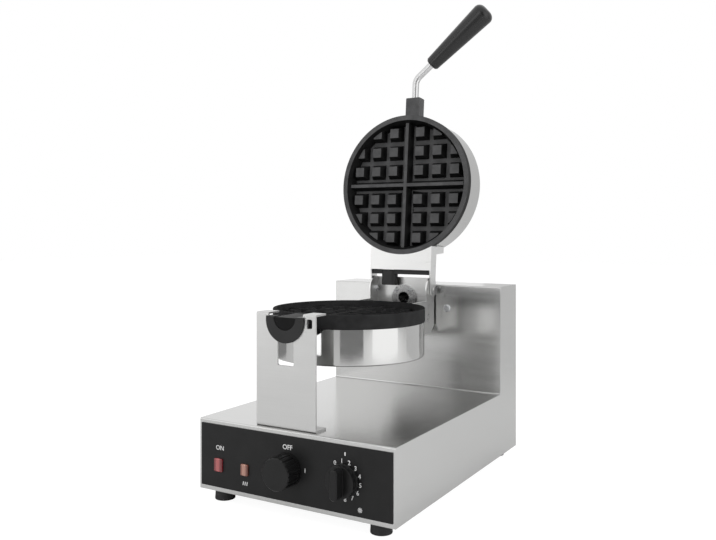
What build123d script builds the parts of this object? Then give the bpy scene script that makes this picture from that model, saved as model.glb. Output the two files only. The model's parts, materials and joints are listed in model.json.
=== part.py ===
from build123d import *
from math import cos, hypot, radians, sin, tan
import os

# Rotating waffle maker: a round waffle mould that turns end over end on a steel stand.
# Millimetres. X runs to the right, Y to the rear, Z up from the counter.
# The origin is the centre of the stand's footprint, on the counter.

# Stand: an L-shaped sheet steel housing on four feet
body_width = 250.0
body_depth = 350.0
foot_height = 12.0
deck_rise = 79.4
tower_rise = 218.0
tower_depth = 60.0
sheet = 1.2
bend_radius = 1.6
lip_width = 14.0
cover_sheet = 1.2
cover_inset = 3.0
front_y = -body_depth / 2
rear_y = body_depth / 2
deck_z = foot_height + deck_rise
tower_top_z = foot_height + tower_rise
tower_front_y = rear_y - tower_depth

# Feet and the screws that hold them
foot_radius = 11.5
foot_inset_x = 24.0
foot_inset_y = 15.0
foot_well_radius = 5.0
foot_well_depth = 6.0
foot_draft = 3.0
screw_radius = 2.0
screw_head_radius = 3.8
screw_head_height = 2.2
screw_play = 0.15
screw_tail = 4.0
screw_tip_gap = 0.1
head_slope = 0.5

# Control panel and what it carries
panel_thick = 1.0
panel_side_gap = 2.7
panel_end_gap = 4.8
knob_x = -4.0
dial_x = 66.5
control_rise = 39.0
control_z = foot_height + control_rise
bushing_radius = 4.8
spindle_radius = 3.0
spindle_play = 0.05
spindle_hold = 8.0
spindle_end_play = 1.0
bushing_stand = 0.2
body_corner = 4.0
knob_radius = 18.0
knob_grip_radius = 17.4
knob_skirt = 3.0
knob_reach = 22.0
knob_gap = 0.6
knob_flutes = 20
knob_flute_radius = 1.6
knob_flute_lift = 0.9
knob_edge = 1.2
knob_spindle_share = 0.7
timer_knob_radius = 16.5
timer_skirt_radius = 17.5
timer_bar_width = 9.0
timer_bar_inset = 1.0
timer_base_height = 9.0
red_lamp_x = -96.8
red_lamp_size = (11.5, 14.5)
orange_lamp_x = -60.1
orange_lamp_size = (10.0, 12.5)
lamp_rise = 30.0
lamp_z = foot_height + lamp_rise
lamp_reach = 2.6
lamp_stem = 2.0
lamp_play = 0.1
lamp_corner = 1.2
lamp_crown = 0.9
lamp_depth = 14.0
thermostat_size = (46.0, 30.0, 36.0)
timer_size = (50.0, 42.0, 50.0)

# The turning axis runs from front to rear
axis_x = -11.0
axis_rise = 199.0
axis_z = foot_height + axis_rise
hinge_setback = 10.0
pin_y = tower_front_y - hinge_setback
pin_reach = 142.5
mould_y = pin_y - pin_reach
half_gap = 0.4

# Front support: a bent bracket with a plastic half bearing in its notch
bracket_sheet = 2.0
bracket_half_width = 38.7
bracket_setback = 6.0
bracket_top_rise = 4.0
bracket_flange = 20.0
journal_radius = 14.0
journal_play = 0.3
liner_radius = 24.5
liner_drop = 3.5
liner_lip = 2.0
liner_lip_thick = 2.2
liner_play = 0.15
liner_top_rise = 0.5
slot_half_width = 10.5
slot_foot_drop = 52.0
slot_corner = 2.0
clip_slot_offset = 30.5
clip_slot_width = 7.5
clip_slot_height = 10.0
clip_slot_drop = 6.0
bracket_screw_offset = 24.0
bracket_screw_setback = 12.0
liner_tail = 7.0
lug_end_inset = 0.7

# Waffle plates: cast iron, with a grid of tapered pegs in four quarters
lower_radius = 91.8
upper_radius = 95.2
rim_width = 4.8
cavity_radius = lower_radius - rim_width
rim_height = 16.5
cavity_depth = 16.0
plate_floor = 6.0
peg_height = 10.5
peg_top = 12.5
peg_pitch = 26.0
peg_first = 17.5
peg_taper = 7.0
peg_clear = 3.0
divider_top = 6.0
wall_blend = 0.5
rim_edge = 1.0
peg_rows = 3

# Steel shells that close the moulds
shell_wall = 1.0
shell_step = 0.7
shell_play = 0.4
lower_shell_height = 40.6
upper_shell_height = 28.5
shell_edge = 2.0
heater_radius = 58.0
heater_tube = 3.5
heater_sink = 0.5
mould_screw_circle = 36.0
mould_screw_bite = 3.0
heater_arc = 345.0

# Hinge behind the moulds
pin_rise = 12.0
pin_radius = 3.0
pin_play = 0.05
pin_head_radius = 5.5
pin_head = 3.0
pin_head_gap = 0.2
pin_tip = 1.0
pin_nut_radius = 4.6
pin_nut = 4.0
open_angle = 95.0
hinge_half_width = 46.0
hinge_sheet = 2.0
hinge_side_gap = 0.5
ear_radius = 8.0
lower_ear_radius = 17.0
seat_gap = 0.3
web_to_pin = 26.0
upper_flange_height = 16.6
upper_flange_run = 10.0
upper_flange_inset = 1.0
saddle_top_inset = 4.0
upper_saddle_rise = 1.0
lower_saddle_rise = 2.0
upper_saddle_height = 22.0
insulator_depth = 6.0
insulator_play = 0.2
sleeve_size = (22.0, 14.0)
sleeve_bore = 4.5
sleeve_offset = -19.0
sleeve_rise = 8.0
sleeve_length = 21.0
sleeve_wall_gap = 0.2
sleeve_corner = 6.0
lower_bracket_drop = 45.0
lower_bracket_corner = 10.0
lower_flange_inset = 1.0
web_top_inset = 1.0
lower_saddle_height = 24.0
web_setback = 3.0
strap_screw_radius = 1.5
strap_screw_head_radius = 2.8
strap_screw_head = 1.8
strap_screw_angle = 14.0

# Hollow shaft, its bush and what holds it in the tower
shaft_radius = 12.0
shaft_bore = 8.0
shaft_flange_radius = 18.2
shaft_flange = 3.0
shaft_reach = 46.0
shaft_screw_circle = 15.2
bush_wall = 3.0
bush_play = 0.05
bush_flange_radius = 18.2
bush_length = 32.0
bearing_plate = 4.0
bearing_plate_size = (150.0, 58.0)
bearing_plate_drop = 14.0
bearing_plate_corner = 4.0
collar_radius = 16.8
collar_length = 9.0
collar_gap = 0.3
bearing_bolt_offset = 61.0
bearing_bolt_drop = 12.0
bearing_bolt_radius = 3.0
bearing_bolt_head_radius = 5.4
bearing_bolt_head = 2.4

# Handle
lug_length = 24.5
rod_radius = 4.7
rod_depth = 7.2
rod_socket = 10.0
rod_end_play = 0.5
rod_bend_reach = 50.3
rod_bend_radius = 15.0
rod_bend_angle = 50.0
grip_start = 30.0
grip_length = 117.0
grip_small_radius = 10.0
grip_large_radius = 15.0
grip_end_radius = 6.0
grip_socket = 24.0
grip_end_play = 2.0
grip_collar = 3.0
grip_collar_step = 2.0
grip_dome = 10.0
grip_dome_radius = 10.0

# Rear cover and the inlet for the supply lead
gland_inset = 55.0
gland_x = body_width / 2 - gland_inset
gland_rise = 35.0
gland_radius = 12.0
gland_bore = 4.5
gland_shoulder = 2.4
gland_reach = 23.0
gland_nut = 5.0
gland_tail = 2.0
gland_collar = 14.3
gland_nose_radius = 9.6
gland_lip = 2.5
vent_width = 34.0
vent_height = 3.5
vent_pitch = 9.0
vent_rows = 5
cover_screw_inset = 7.0
terminal_size = (60.0, 24.0, 18.0)
terminal_setback = 60.0
terminal_ways = 5
terminal_hole = 3.0
terminal_hole_depth = 8.0

os.makedirs("parts", exist_ok=True)
pieces = {}


def front_plane(y):
    """The upright plane at y, seen from the front: its own axes are X and Z."""
    return Plane.XZ.offset(-y)


def side_plane(x):
    """The upright plane at x, whose own axes are Y and Z."""
    return Plane.YZ.offset(x)


def screws(places, shank, head_radius, head_height, reach):
    """Pan-head screws, one at each plane: the head stands up from it and the shank goes down."""
    slope = head_height * head_slope
    with BuildPart() as group:
        for place in places:
            with BuildSketch(Plane(origin=place.origin, x_dir=place.x_dir, z_dir=-place.y_dir)):
                with BuildLine():
                    Polyline(
                        (0, head_height), (0, -reach), (shank, -reach), (shank, 0), (head_radius, 0),
                        (head_radius, head_height - slope), (head_radius - slope, head_height),
                        close=True,
                    )
                make_face()
            revolve(axis=Axis(place.origin, place.z_dir))
    return group


# Housing: front, deck, tower and sides are one folded shell, open inside its rear and bottom lips
def housing_outline(inward):
    """The L-shaped side view, drawn in by a distance."""
    low_z, high_z = foot_height + inward, tower_top_z - inward
    front, rear = front_y + inward, rear_y - inward
    step_y, step_z = tower_front_y + inward, deck_z - inward
    with BuildLine() as line:
        Polyline(
            (front, low_z), (rear, low_z), (rear, high_z),
            (step_y, high_z), (step_y, step_z), (front, step_z),
            close=True,
        )
    return line


shaft_hole = shaft_radius + bush_play + bush_wall + screw_play
bearing_bolt_places = [
    (axis_x + side * bearing_bolt_offset, axis_z - bearing_bolt_drop) for side in (-1, 1)
]

cover_mid_z = (foot_height + tower_top_z) / 2
cover_screw_places = [
    (side * (body_width / 2 - cover_screw_inset), z)
    for side in (-1, 1)
    for z in (foot_height + 2 * cover_screw_inset, cover_mid_z, tower_top_z - 2 * cover_screw_inset)
]

with BuildPart() as housing:
    with BuildSketch(side_plane(-body_width / 2)):
        add(housing_outline(0).line)
        make_face()
    extrude(amount=body_width)
    folds = housing.edges().filter_by(Axis.X).filter_by(lambda e: e.center().Z > foot_height + sheet)
    fillet(folds, radius=bend_radius)
    with BuildSketch(side_plane(-body_width / 2 + sheet)):
        add(housing_outline(sheet).line)
        make_face()
    extrude(amount=body_width - 2 * sheet, mode=Mode.SUBTRACT)
    with BuildSketch(Plane.XY.offset(foot_height)):
        Rectangle(body_width - 2 * lip_width, body_depth - 2 * lip_width)
    extrude(amount=sheet, mode=Mode.SUBTRACT)
    with BuildSketch(front_plane(rear_y)):
        with Locations((0, (foot_height + tower_top_z) / 2)):
            Rectangle(body_width - 2 * lip_width, tower_top_z - foot_height - 2 * lip_width)
        with Locations(*cover_screw_places):
            Circle(screw_radius + screw_play)
    extrude(amount=sheet, mode=Mode.SUBTRACT)
    with BuildSketch(front_plane(front_y)):
        with Locations((knob_x, control_z), (dial_x, control_z)):
            Circle(bushing_radius + screw_play)
        for lamp_x, lamp_size in ((red_lamp_x, red_lamp_size), (orange_lamp_x, orange_lamp_size)):
            with Locations((lamp_x, lamp_z)):
                Rectangle(lamp_size[0] - lamp_stem, lamp_size[1] - lamp_stem)
    extrude(amount=-sheet, mode=Mode.SUBTRACT)
    with BuildSketch(front_plane(tower_front_y)):
        with Locations((axis_x, axis_z)):
            Circle(shaft_hole)
        with Locations(*bearing_bolt_places):
            Circle(bearing_bolt_radius + screw_play)
    extrude(amount=-sheet, mode=Mode.SUBTRACT)
pieces["housing"] = housing


# Bottom plate with vent slots, and the four feet under it
foot_places = [
    (side * (body_width / 2 - foot_inset_x), end * (body_depth / 2 - foot_inset_y))
    for side in (-1, 1)
    for end in (-1, 1)
]
plate_low_z = foot_height - cover_sheet

with BuildPart() as bottom_plate:
    with BuildSketch(Plane.XY.offset(plate_low_z)):
        Rectangle(body_width - 2 * cover_inset, body_depth - 2 * cover_inset)
        with Locations(*foot_places):
            Circle(screw_radius + screw_play, mode=Mode.SUBTRACT)
        with GridLocations(vent_width * 1.5, vent_pitch, 3, vent_rows):
            SlotOverall(vent_width, vent_height, mode=Mode.SUBTRACT)
    extrude(amount=cover_sheet)
pieces["bottom_plate"] = bottom_plate

with BuildPart() as feet:
    for x, y in foot_places:
        with BuildSketch(Plane((x, y, 0))):
            Circle(foot_radius)
        extrude(amount=plate_low_z, taper=foot_draft)
        with BuildSketch(Plane((x, y, 0))):
            Circle(foot_well_radius)
        extrude(amount=foot_well_depth, mode=Mode.SUBTRACT)
        with BuildSketch(Plane((x, y, 0))):
            Circle(screw_radius + screw_play)
        extrude(amount=plate_low_z, mode=Mode.SUBTRACT)
pieces["feet"] = feet

pieces["foot_screws"] = screws(
    [Plane((x, y, foot_well_depth), x_dir=(1, 0, 0), z_dir=(0, 0, -1)) for x, y in foot_places],
    screw_radius, screw_head_radius, screw_head_height, plate_low_z - foot_well_depth + cover_sheet,
)


# Rear cover with vent slots, its screws, and the inlet gland
gland_z = foot_height + gland_rise
gland_stem_radius = gland_radius - gland_shoulder
cover_height = tower_top_z - foot_height - 2 * cover_inset

with BuildPart() as rear_cover:
    with BuildSketch(front_plane(rear_y)):
        with Locations((0, cover_mid_z)):
            Rectangle(body_width - 2 * cover_inset, cover_height)
        with Locations((gland_x, gland_z)):
            Circle(gland_stem_radius + screw_play, mode=Mode.SUBTRACT)
        with Locations(*cover_screw_places):
            Circle(screw_radius + screw_play, mode=Mode.SUBTRACT)
        with Locations((0, cover_mid_z + cover_height / 4)):
            with GridLocations(vent_width * 1.5, vent_pitch, 3, vent_rows):
                SlotOverall(vent_width, vent_height, mode=Mode.SUBTRACT)
    extrude(amount=-cover_sheet)
pieces["rear_cover"] = rear_cover

pieces["cover_screws"] = screws(
    [Plane((x, rear_y + cover_sheet, z), x_dir=(1, 0, 0), z_dir=(0, 1, 0)) for x, z in cover_screw_places],
    screw_radius, screw_head_radius, screw_head_height, cover_sheet + sheet + screw_tail,
)

with BuildPart() as cord_gland:
    with BuildSketch(side_plane(gland_x)):
        with BuildLine():
            Polyline(
                (rear_y + cover_sheet, gland_z + gland_bore),
                (rear_y + gland_reach, gland_z + gland_bore),
                (rear_y + gland_reach, gland_z + gland_bore + gland_lip),
                (rear_y + gland_collar, gland_z + gland_nose_radius),
                (rear_y + gland_collar, gland_z + gland_radius),
                (rear_y + cover_sheet, gland_z + gland_radius),
                (rear_y + cover_sheet, gland_z + gland_stem_radius),
                (rear_y - gland_nut - gland_tail, gland_z + gland_stem_radius),
                (rear_y - gland_nut - gland_tail, gland_z + gland_bore),
                close=True,
            )
        make_face()
    revolve(axis=Axis((gland_x, rear_y, gland_z), (0, 1, 0)))
pieces["cord_gland"] = cord_gland

with BuildPart() as gland_nut_ring:
    with BuildSketch(front_plane(rear_y - gland_nut)):
        with Locations((gland_x, gland_z)):
            RegularPolygon(gland_radius, 6)
            Circle(gland_stem_radius + screw_play, mode=Mode.SUBTRACT)
    extrude(amount=-gland_nut)
pieces["gland_nut"] = gland_nut_ring


# Control panel, pilot lamps, thermostat and timer
panel_low_z = foot_height + panel_end_gap
panel_high_z = deck_z - panel_end_gap
with BuildPart() as control_panel:
    with BuildSketch(front_plane(front_y)):
        with Locations((0, (panel_low_z + panel_high_z) / 2)):
            Rectangle(body_width - 2 * panel_side_gap, panel_high_z - panel_low_z)
        with Locations((knob_x, control_z), (dial_x, control_z)):
            Circle(bushing_radius + screw_play, mode=Mode.SUBTRACT)
        for lamp_x, lamp_size in ((red_lamp_x, red_lamp_size), (orange_lamp_x, orange_lamp_size)):
            with Locations((lamp_x, lamp_z)):
                Rectangle(lamp_size[0] - lamp_stem, lamp_size[1] - lamp_stem, mode=Mode.SUBTRACT)
    extrude(amount=panel_thick)
pieces["control_panel"] = control_panel

panel_face_y = front_y - panel_thick


def pilot_lamp(x, size):
    """A rectangular pilot lamp: a crowned lens on the panel, with its body through the hole."""
    stem_width = size[0] - lamp_stem - 2 * lamp_play
    stem_height = size[1] - lamp_stem - 2 * lamp_play
    with BuildPart() as lamp:
        with BuildSketch(front_plane(panel_face_y)):
            with Locations((x, lamp_z)):
                RectangleRounded(size[0], size[1], lamp_corner)
        extrude(amount=lamp_reach)
        chamfer(lamp.faces().sort_by(Axis.Y)[0].edges(), length=lamp_crown)
        with BuildSketch(front_plane(panel_face_y)):
            with Locations((x, lamp_z)):
                Rectangle(stem_width, stem_height)
        extrude(amount=-(panel_thick + sheet + lamp_depth))
    return lamp


pieces["red_lamp"] = pilot_lamp(red_lamp_x, red_lamp_size)
pieces["orange_lamp"] = pilot_lamp(orange_lamp_x, orange_lamp_size)


def control_body(x, size):
    """A switch body behind the front wall, with its bushing through the wall and the panel."""
    back_y = front_y + sheet
    with BuildPart() as control:
        with BuildSketch(front_plane(back_y)):
            with Locations((x, control_z)):
                RectangleRounded(size[0], size[2], body_corner)
        extrude(amount=-size[1])
        with BuildSketch(front_plane(back_y)):
            with Locations((x, control_z)):
                Circle(bushing_radius)
        extrude(amount=sheet + panel_thick + bushing_stand)
        with BuildSketch(front_plane(back_y + spindle_hold + spindle_end_play)):
            with Locations((x, control_z)):
                Circle(spindle_radius + spindle_play)
        bore_length = sheet + panel_thick + bushing_stand + spindle_hold + spindle_end_play
        extrude(amount=bore_length, mode=Mode.SUBTRACT)
    return control


def control_spindle(x, reach):
    """A D-shaped spindle that turns in its bushing and carries the knob."""
    tip_y = panel_face_y - reach
    with BuildPart() as spindle:
        with BuildSketch(front_plane(tip_y)):
            with Locations((x, control_z)):
                Circle(spindle_radius)
        extrude(amount=-(reach + panel_thick + sheet + spindle_hold))
        with BuildSketch(front_plane(tip_y)):
            with Locations((x, control_z + spindle_radius)):
                Rectangle(2 * spindle_radius, spindle_radius)
        extrude(amount=-(reach - knob_gap), mode=Mode.SUBTRACT)
    return spindle


knob_back_y = panel_face_y - knob_gap
knob_face_y = front_y - knob_reach - panel_thick
spindle_reach = knob_reach * knob_spindle_share

pieces["thermostat_body"] = control_body(knob_x, thermostat_size)
pieces["timer_body"] = control_body(dial_x, timer_size)
pieces["thermostat_spindle"] = control_spindle(knob_x, spindle_reach)
pieces["timer_spindle"] = control_spindle(dial_x, spindle_reach)


def spindle_hole(x):
    """The D-shaped hole behind a knob, as long as the spindle that fills it."""
    with BuildSketch(front_plane(knob_back_y)) as hole:
        with Locations((x, control_z)):
            Circle(spindle_radius + spindle_play)
        with Locations((x, control_z + spindle_radius + spindle_play)):
            Rectangle(2 * spindle_radius + 1, spindle_radius, mode=Mode.SUBTRACT)
    return hole


with BuildPart() as thermostat_knob:
    with BuildSketch(front_plane(knob_back_y)):
        with Locations((knob_x, control_z)):
            Circle(knob_radius)
    extrude(amount=knob_skirt)
    with BuildSketch(front_plane(knob_back_y)):
        with Locations((knob_x, control_z)):
            Circle(knob_grip_radius)
    extrude(amount=knob_back_y - knob_face_y)
    chamfer(thermostat_knob.faces().sort_by(Axis.Y)[0].edges(), length=knob_edge)
    with BuildSketch(front_plane(knob_back_y - knob_skirt)):
        with Locations((knob_x, control_z)):
            with PolarLocations(knob_grip_radius + knob_flute_lift, knob_flutes):
                Circle(knob_flute_radius)
    extrude(amount=knob_reach, mode=Mode.SUBTRACT)
    with BuildSketch(front_plane(knob_back_y)):
        add(spindle_hole(knob_x).sketch)
    extrude(amount=spindle_reach - knob_gap, mode=Mode.SUBTRACT)
pieces["thermostat_knob"] = thermostat_knob

with BuildPart() as timer_knob:
    with BuildSketch(front_plane(knob_back_y)):
        with Locations((dial_x, control_z)):
            Circle(timer_skirt_radius)
    extrude(amount=knob_skirt)
    with BuildSketch(front_plane(knob_back_y)):
        with Locations((dial_x, control_z)):
            Circle(timer_knob_radius)
    extrude(amount=timer_base_height)
    with BuildSketch(front_plane(knob_back_y)):
        with Locations((dial_x, control_z)):
            SlotOverall(2 * (timer_knob_radius - timer_bar_inset), timer_bar_width, rotation=90)
    extrude(amount=knob_back_y - knob_face_y)
    chamfer(timer_knob.faces().sort_by(Axis.Y)[0].edges(), length=knob_edge)
    with BuildSketch(front_plane(knob_back_y)):
        add(spindle_hole(dial_x).sketch)
    extrude(amount=spindle_reach - knob_gap, mode=Mode.SUBTRACT)
pieces["timer_knob"] = timer_knob

with BuildPart() as terminal_block:
    with BuildSketch(Plane.XY.offset(foot_height)):
        with Locations((gland_x, rear_y - terminal_setback)):
            Rectangle(terminal_size[0], terminal_size[1])
    extrude(amount=terminal_size[2])
    with BuildSketch(Plane.XY.offset(foot_height + terminal_size[2])):
        with Locations((gland_x, rear_y - terminal_setback)):
            terminal_pitch = terminal_size[0] / (terminal_ways + 1)
            with GridLocations(terminal_pitch, terminal_size[1] / 2, terminal_ways, 2):
                Circle(terminal_hole)
    extrude(amount=-terminal_hole_depth, mode=Mode.SUBTRACT)
pieces["terminal_block"] = terminal_block


# Front support bracket: a plate with flanges bent back at its foot and its top
bracket_y = front_y + bracket_setback
bracket_top_z = axis_z + bracket_top_rise
notch_radius = liner_radius - liner_lip
liner_mid_z = axis_z - liner_drop
slot_low_z = axis_z - slot_foot_drop

with BuildPart() as front_bracket:
    with BuildSketch(side_plane(axis_x - bracket_half_width)):
        with BuildLine():
            Polyline(
                (bracket_y, deck_z),
                (bracket_y + bracket_flange, deck_z),
                (bracket_y + bracket_flange, deck_z + bracket_sheet),
                (bracket_y + bracket_sheet, deck_z + bracket_sheet),
                (bracket_y + bracket_sheet, bracket_top_z - bracket_sheet),
                (bracket_y + bracket_flange, bracket_top_z - bracket_sheet),
                (bracket_y + bracket_flange, bracket_top_z),
                (bracket_y, bracket_top_z),
                close=True,
            )
        make_face()
    extrude(amount=2 * bracket_half_width)
    outer_folds = front_bracket.edges().filter_by(Axis.X).group_by(Axis.Y)[0]
    fillet(outer_folds, radius=bracket_sheet)
    with BuildSketch(front_plane(bracket_y)):
        with Locations((axis_x, liner_mid_z)):
            Circle(notch_radius)
        with Locations((axis_x, (liner_mid_z + bracket_top_z) / 2)):
            Rectangle(2 * notch_radius, bracket_top_z - liner_mid_z)
        with Locations((axis_x, (liner_mid_z + slot_low_z) / 2)):
            RectangleRounded(2 * slot_half_width, liner_mid_z - slot_low_z, slot_corner)
        with Locations((axis_x + clip_slot_offset, axis_z - clip_slot_drop)):
            RectangleRounded(clip_slot_width, clip_slot_height, slot_corner)
    extrude(amount=-bracket_flange, mode=Mode.SUBTRACT)
    with BuildSketch(Plane.XY.offset(deck_z)):
        with Locations((axis_x, bracket_y + bracket_screw_setback)):
            with GridLocations(2 * bracket_screw_offset, 1, 2, 1):
                Circle(screw_radius + screw_play)
    extrude(amount=bracket_sheet, mode=Mode.SUBTRACT)
pieces["front_bracket"] = front_bracket

pieces["bracket_screws"] = screws(
    [Plane((axis_x + side * bracket_screw_offset, bracket_y + bracket_screw_setback, deck_z + bracket_sheet))
     for side in (-1, 1)],
    screw_radius, screw_head_radius, screw_head_height, bracket_sheet,
)


def liner_section(y, radius):
    """The U of the half bearing, round below and flat on top, open for the journal."""
    top_z = axis_z + liner_top_rise
    with BuildSketch(front_plane(y)) as section:
        with Locations((axis_x, liner_mid_z)):
            Circle(radius)
            Rectangle(2 * radius, 2 * radius, align=(Align.CENTER, Align.MIN), mode=Mode.SUBTRACT)
        with Locations((axis_x, (liner_mid_z + top_z) / 2)):
            Rectangle(2 * radius, top_z - liner_mid_z)
        with Locations((axis_x, axis_z)):
            Circle(journal_radius + journal_play, mode=Mode.SUBTRACT)
            Rectangle(2 * (journal_radius + journal_play), 2 * liner_radius, align=(Align.CENTER, Align.MIN),
                      mode=Mode.SUBTRACT)
    return section


with BuildPart() as bracket_liner:
    with BuildSketch(front_plane(bracket_y)):
        add(liner_section(bracket_y, liner_radius).sketch)
    extrude(amount=liner_lip_thick)
    with BuildSketch(front_plane(bracket_y)):
        add(liner_section(bracket_y, notch_radius - liner_play).sketch)
    extrude(amount=-bracket_sheet)
    with BuildSketch(front_plane(bracket_y + bracket_sheet)):
        add(liner_section(bracket_y + bracket_sheet, liner_radius).sketch)
    extrude(amount=-liner_tail)
pieces["bracket_liner"] = bracket_liner


# Waffle plates. The lower one faces up and the upper one, drawn closed, faces down onto it.
lower_face = Plane((axis_x, mould_y, axis_z - half_gap), x_dir=(1, 0, 0), z_dir=(0, 0, -1))
upper_face = Plane((axis_x, mould_y, axis_z + half_gap))
plate_depth = cavity_depth + plate_floor
peg_slope = 2 * peg_height * tan(radians(peg_taper))
divider_length = 2 * (cavity_radius + wall_blend + peg_slope)


def peg_field(face):
    """The pegs of all four quarters, cut off round near the cavity's wall."""
    reach = [peg_first + step * peg_pitch for step in range(peg_rows)]
    quarter = [(x, y) for x in reach for y in reach if hypot(x, y) < cavity_radius]
    with BuildPart() as field:
        with BuildSketch(face.offset(cavity_depth)):
            with Locations(*[(sx * x, sy * y) for x, y in quarter for sx in (-1, 1) for sy in (-1, 1)]):
                Rectangle(peg_top + peg_slope, peg_top + peg_slope)
        extrude(amount=-peg_height, taper=peg_taper)
        with BuildSketch(face.offset(cavity_depth)):
            Circle(cavity_radius - peg_clear)
        extrude(amount=-peg_height, mode=Mode.INTERSECT)
    return field


def divider_cross(face):
    """The two raised bars that part the waffle into quarters."""
    with BuildPart() as cross:
        with BuildSketch(face.offset(cavity_depth)):
            Rectangle(divider_length, divider_top + peg_slope)
            Rectangle(divider_top + peg_slope, divider_length)
        extrude(amount=-peg_height, taper=peg_taper)
        with BuildSketch(face.offset(cavity_depth)):
            Circle(cavity_radius + wall_blend)
        extrude(amount=-peg_height, mode=Mode.INTERSECT)
    return cross


def waffle_plate(face, radius):
    """A round casting: rim, spigot into the shell, cavity, pegs, cross and the heater's groove."""
    field, cross = peg_field(face), divider_cross(face)
    spigot_radius = radius - shell_step - shell_wall - shell_play
    with BuildPart() as plate:
        with BuildSketch(face):
            Circle(radius)
        extrude(amount=rim_height)
        rim_edges = plate.edges().filter_by(GeomType.CIRCLE)
        fillet(rim_edges, radius=rim_edge)
        with BuildSketch(face):
            Circle(spigot_radius)
        extrude(amount=plate_depth)
        with BuildSketch(face):
            Circle(cavity_radius)
        extrude(amount=cavity_depth, mode=Mode.SUBTRACT)
        add(field.part)
        add(cross.part)
        with BuildSketch(face.offset(plate_depth)):
            Circle(heater_radius + heater_tube + shell_play)
            Circle(heater_radius - heater_tube - shell_play, mode=Mode.SUBTRACT)
        extrude(amount=-heater_sink, mode=Mode.SUBTRACT)
        with BuildSketch(face.offset(plate_depth)):
            with PolarLocations(mould_screw_circle, 3):
                Circle(screw_radius + screw_play)
        extrude(amount=-(mould_screw_bite + screw_tip_gap), mode=Mode.SUBTRACT)
    return plate


def mould_shell(face, radius, height):
    """The steel cup behind a waffle plate."""
    outer = radius - shell_step
    with BuildPart() as shell:
        with BuildSketch(face.offset(rim_height)):
            Circle(outer)
        extrude(amount=height)
        far_face = shell.faces().sort_by(Axis(face.origin, face.z_dir))[-1]
        fillet(far_face.edges(), radius=shell_edge)
        with BuildSketch(face.offset(rim_height)):
            Circle(outer - shell_wall)
        extrude(amount=height - shell_wall, mode=Mode.SUBTRACT)
        with BuildSketch(face.offset(rim_height + height)):
            with PolarLocations(mould_screw_circle, 3):
                Circle(screw_radius + screw_play)
        extrude(amount=-shell_wall, mode=Mode.SUBTRACT)
    return shell


def heater_ring(face):
    """A tubular element bent to an open ring, let into the back of the plate."""
    centre = face.offset(plate_depth + heater_tube - heater_sink)
    with BuildPart() as ring:
        with BuildSketch(Plane(origin=centre.origin, x_dir=centre.x_dir, z_dir=centre.y_dir)):
            with Locations((heater_radius, 0)):
                Circle(heater_tube)
        revolve(axis=Axis(centre.origin, centre.z_dir), revolution_arc=heater_arc)
    return ring


def mould_screws(face, height):
    """The screws that pull a plate into its shell, put in from the outside."""
    back = face.offset(rim_height + height)
    places = [Plane(origin=back.from_local_coords(spot.position), x_dir=back.x_dir, z_dir=back.z_dir)
              for spot in PolarLocations(mould_screw_circle, 3)]
    reach = rim_height + height - plate_depth + mould_screw_bite
    return screws(places, screw_radius, screw_head_radius, screw_head_height, reach)


pieces["lower_plate"] = waffle_plate(lower_face, lower_radius)
pieces["lower_shell"] = mould_shell(lower_face, lower_radius, lower_shell_height)
pieces["lower_heater"] = heater_ring(lower_face)
pieces["lower_mould_screws"] = mould_screws(lower_face, lower_shell_height)

lid = {}
lid["upper_plate"] = waffle_plate(upper_face, upper_radius)
lid["upper_shell"] = mould_shell(upper_face, upper_radius, upper_shell_height)
lid["upper_heater"] = heater_ring(upper_face)
lid["upper_mould_screws"] = mould_screws(upper_face, upper_shell_height)


# The journal at the front is a half on each mould, so that the two make one round when closed
lug_end_y = bracket_y - liner_lip_thick + lug_end_inset
lug_cut = 2 * journal_radius
with BuildPart() as lower_lug:
    with BuildSketch(front_plane(lug_end_y)):
        with Locations((axis_x, axis_z)):
            Circle(journal_radius)
        with Locations((axis_x, axis_z - half_gap)):
            Rectangle(lug_cut, lug_cut, align=(Align.CENTER, Align.MIN), mode=Mode.SUBTRACT)
    extrude(amount=-(mould_y - lug_end_y - lower_radius / 2))
    with BuildSketch(Plane.XY.offset(axis_z - 2 * journal_radius)):
        with Locations((axis_x, mould_y)):
            Circle(lower_radius + seat_gap)
    extrude(amount=4 * journal_radius, mode=Mode.SUBTRACT)
pieces["lower_lug"] = lower_lug

lug_face_y = mould_y - upper_radius - lug_length
rod_z = axis_z + half_gap + rod_depth
with BuildPart() as upper_lug:
    with BuildSketch(front_plane(lug_face_y)):
        with Locations((axis_x, axis_z)):
            Circle(journal_radius)
        with Locations((axis_x, axis_z + half_gap)):
            Rectangle(lug_cut, lug_cut, align=(Align.CENTER, Align.MAX), mode=Mode.SUBTRACT)
    extrude(amount=-(lug_length + upper_radius / 2))
    with BuildSketch(Plane.XY.offset(axis_z)):
        with Locations((axis_x, mould_y)):
            Circle(upper_radius + seat_gap)
    extrude(amount=2 * journal_radius, mode=Mode.SUBTRACT)
    with BuildSketch(front_plane(lug_face_y)):
        with Locations((axis_x, rod_z)):
            Circle(rod_radius + pin_play)
    extrude(amount=-rod_socket, mode=Mode.SUBTRACT)
lid["upper_lug"] = upper_lug

# Handle: a bent rod out of the upper lug, with a tapered grip
bend_point = Vector(axis_x, mould_y - upper_radius - rod_bend_reach, rod_z)
grip_way = Vector(sin(radians(rod_bend_angle)), -cos(radians(rod_bend_angle)), 0)
rod_end = bend_point + grip_way * (grip_start + grip_socket - grip_end_play)
grip_tip = grip_start + grip_length

with BuildPart() as handle_rod:
    with BuildLine() as rod_line:
        rod_foot = (axis_x, lug_face_y + rod_socket - rod_end_play, rod_z)
        FilletPolyline(rod_foot, bend_point, rod_end, radius=rod_bend_radius)
    with BuildSketch(Plane(origin=rod_line.line @ 0, z_dir=rod_line.line % 0)):
        Circle(rod_radius)
    sweep()
lid["handle_rod"] = handle_rod

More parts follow.
